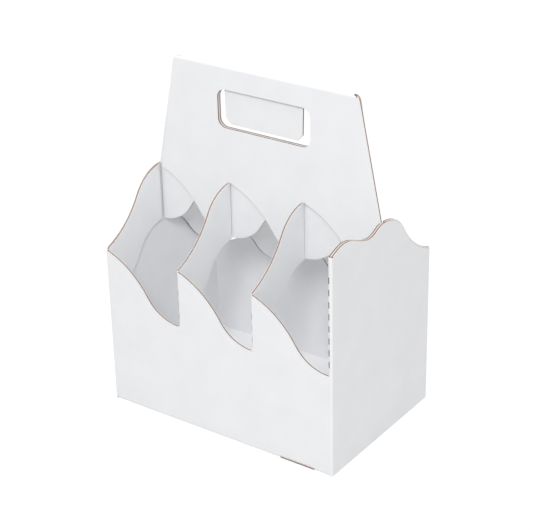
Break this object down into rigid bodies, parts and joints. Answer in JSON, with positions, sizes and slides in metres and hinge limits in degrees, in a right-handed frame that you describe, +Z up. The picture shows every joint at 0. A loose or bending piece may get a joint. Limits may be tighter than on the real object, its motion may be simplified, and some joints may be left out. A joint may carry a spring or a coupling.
{
  "type": "bottle carrier",
  "caption": "White fluted-board bottle carrier folded from one sheet, with wave-cut dividers, an open two-ply centre handle and a hinged hand flap.",
  "frame": {"origin": "centre of the carrier's footprint, on the surface it stands on", "axes": "+X along a row of three bottles, -Y to the front that the picture shows, +Z up to the handle"},
  "size_m": [0.21, 0.1408, 0.274],
  "materials": {
    "white_board": "matt white lined fluted board, kraft brown at the cut edges",
    "flap_board": "matt white lined fluted board, kraft brown at the cut edges"
  },
  "bodies": {
    "carrier": {"carrier": "white_board"},
    "hand_flap": {"hand_flap": "flap_board"}
  },
  "joints": [
    {"name": "hand_flap_hinge", "type": "hinge", "parent": "carrier", "child": "hand_flap", "pos_m": [0, 0.0021, 0.2536], "axis": [1, 0, 0], "range_deg": [-85, 170]}
  ]
}
